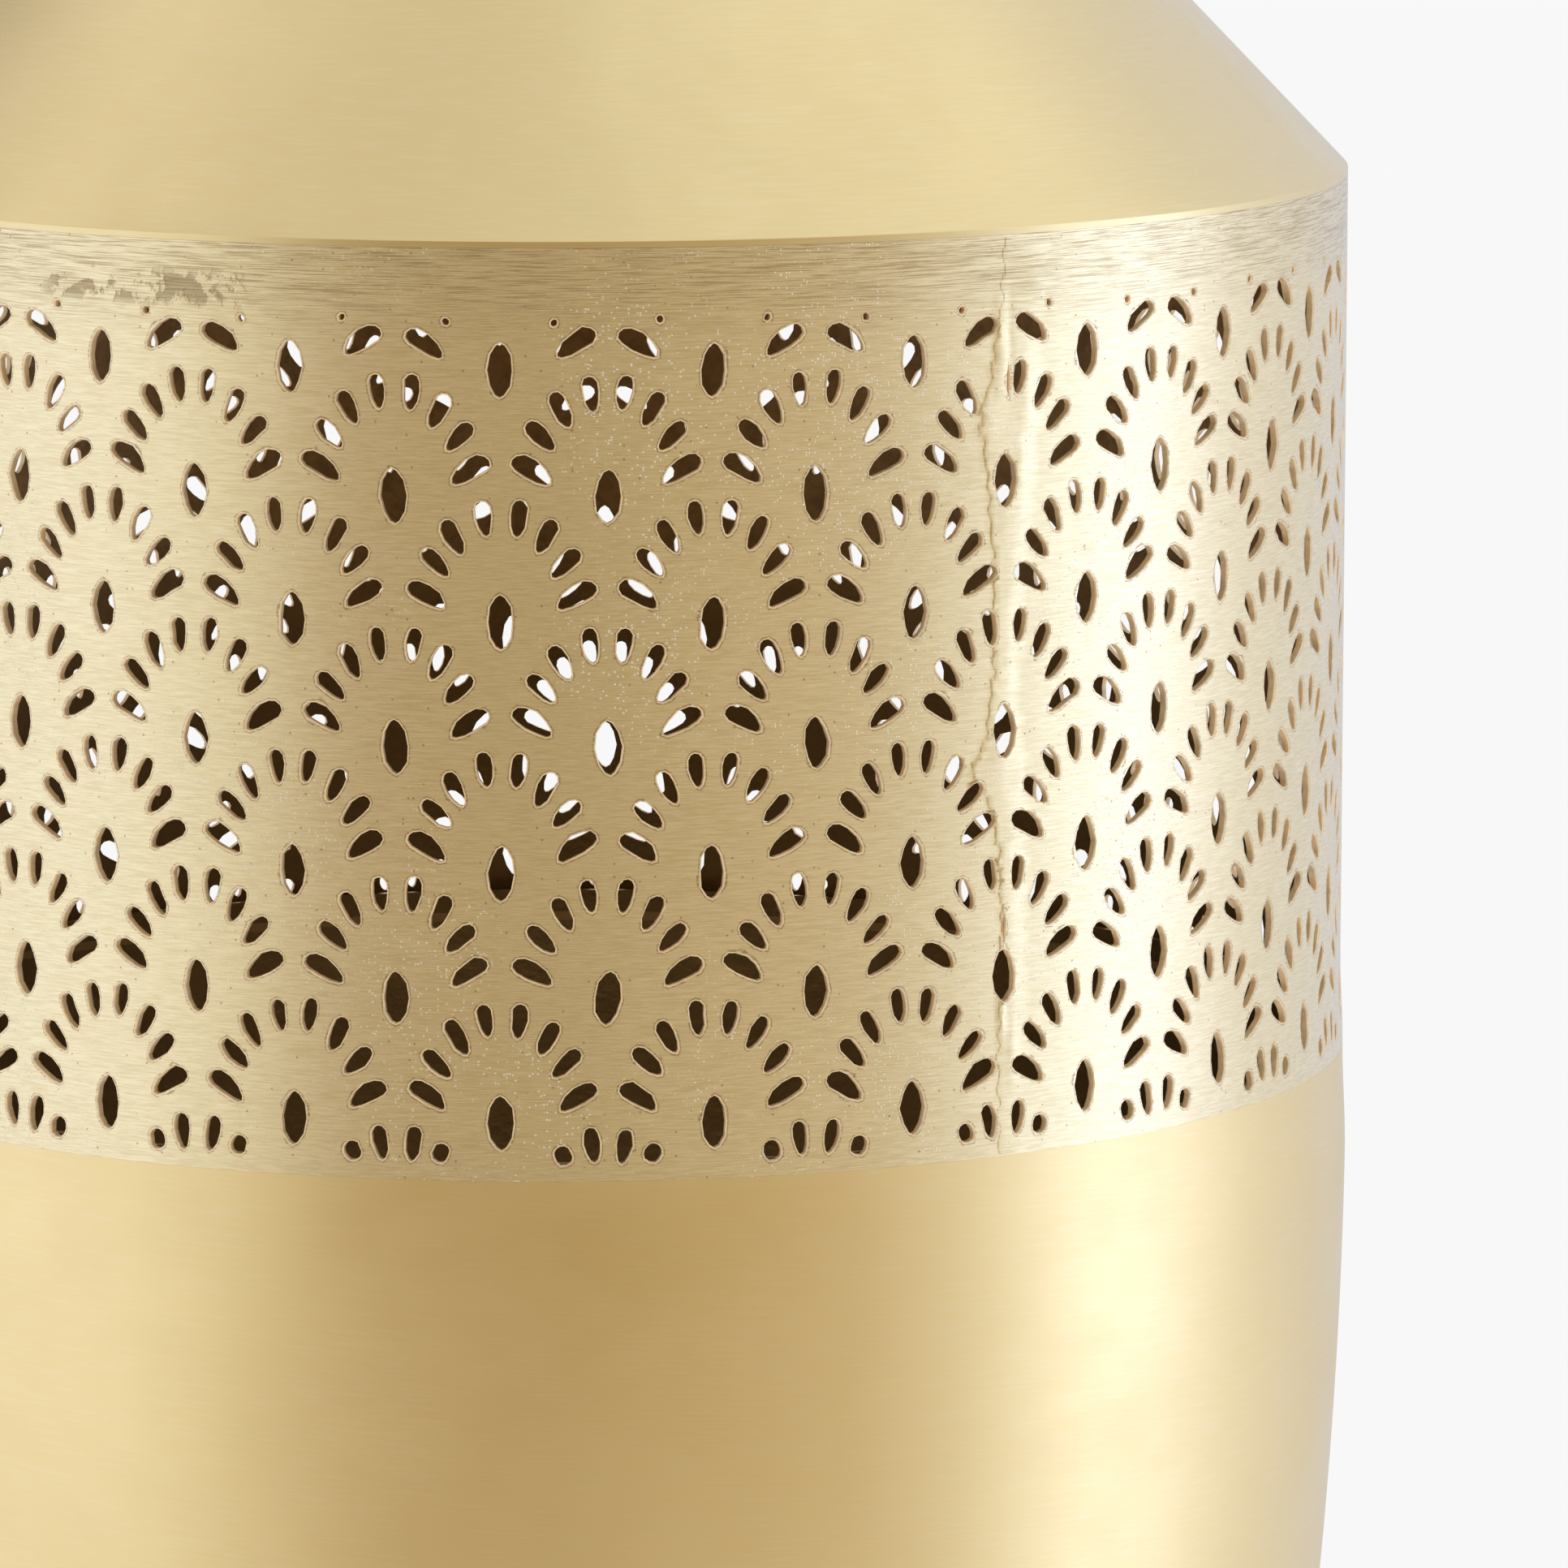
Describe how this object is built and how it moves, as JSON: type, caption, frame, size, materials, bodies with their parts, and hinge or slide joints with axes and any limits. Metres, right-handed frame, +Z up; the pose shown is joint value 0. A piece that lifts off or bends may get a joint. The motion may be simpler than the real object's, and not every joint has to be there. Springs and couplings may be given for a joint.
{
  "type": "hanging lantern",
  "caption": "Ring-hung sheet-brass lantern: conical shoulder, band pierced with scallop fans, plain barrel open below, screw-base lamp holder and small round bulb inside.",
  "frame": {"origin": "inner top of the hanging ring, on the lantern's axis, where a hook bears", "axes": "+Z up along the lantern's axis, -Y the front, the hanging ring lies in the XZ plane and the cord port faces +Y"},
  "size_m": [0.222, 0.222, 0.4427],
  "materials": {
    "satin_brass": "satin, spun and hand polished",
    "brushed_brass": "brushed round the band, with fine pits",
    "cast_brass": "cast and buffed",
    "contact_brass": "bright rolled strip",
    "bulb_metal": "bright, thin pressed shell",
    "plated_steel": "zinc plated",
    "tungsten": "drawn wire",
    "black_phenolic": "moulded, semi matt",
    "white_ceramic": "glazed",
    "black_glass": "opaque fused glass",
    "clear_glass": "clear, blown"
  },
  "bodies": {
    "ring": {"hanging_ring": "cast_brass"},
    "lantern": {"hanging_eye": "cast_brass", "cord_bush": "black_phenolic", "cap_washer": "cast_brass", "neck_cap": "satin_brass", "neck_screw_1": "cast_brass", "neck_screw_2": "cast_brass", "neck_screw_3": "cast_brass", "neck_collar": "satin_brass", "shoulder_cone": "satin_brass", "pierced_band": "brushed_brass", "barrel": "satin_brass", "mouth_hoop": "satin_brass", "threaded_tube": "plated_steel", "earth_tag": "contact_brass", "lock_washer": "plated_steel", "lock_nut": "plated_steel", "holder_cap": "black_phenolic", "holder_shell": "black_phenolic", "contact_carrier": "white_ceramic", "terminal_screw_1": "contact_brass", "terminal_screw_2": "contact_brass", "centre_contact": "contact_brass", "side_contact": "contact_brass", "screw_shell": "contact_brass"},
    "bulb_core": {"bulb_insulator": "black_glass"},
    "bulb": {"bulb_cap": "bulb_metal", "bulb_tip": "plated_steel", "bulb_glass": "clear_glass", "glass_stem": "clear_glass", "lead_wire_1": "plated_steel", "lead_wire_2": "plated_steel", "filament": "tungsten"}
  },
  "joints": [
    {"name": "lantern_swing", "type": "hinge", "parent": "ring", "child": "lantern", "pos_m": [0, 0, -0.0415], "axis": [1, 0, 0], "range_deg": [-60, 60]},
    {"name": "bulb_travel", "type": "slide", "parent": "lantern", "child": "bulb_core", "axis": [0, 0, -1], "range_m": [0, 0.01811]},
    {"name": "bulb_turn", "type": "hinge", "parent": "bulb_core", "child": "bulb", "pos_m": [0, 0, -0.1155], "axis": [0, 0, -1], "range_deg": [0, 1800]}
  ],
  "couplings": [
    {"joint": "bulb_travel", "follows": "bulb_turn", "m_per_rad": 0.00057614}
  ]
}
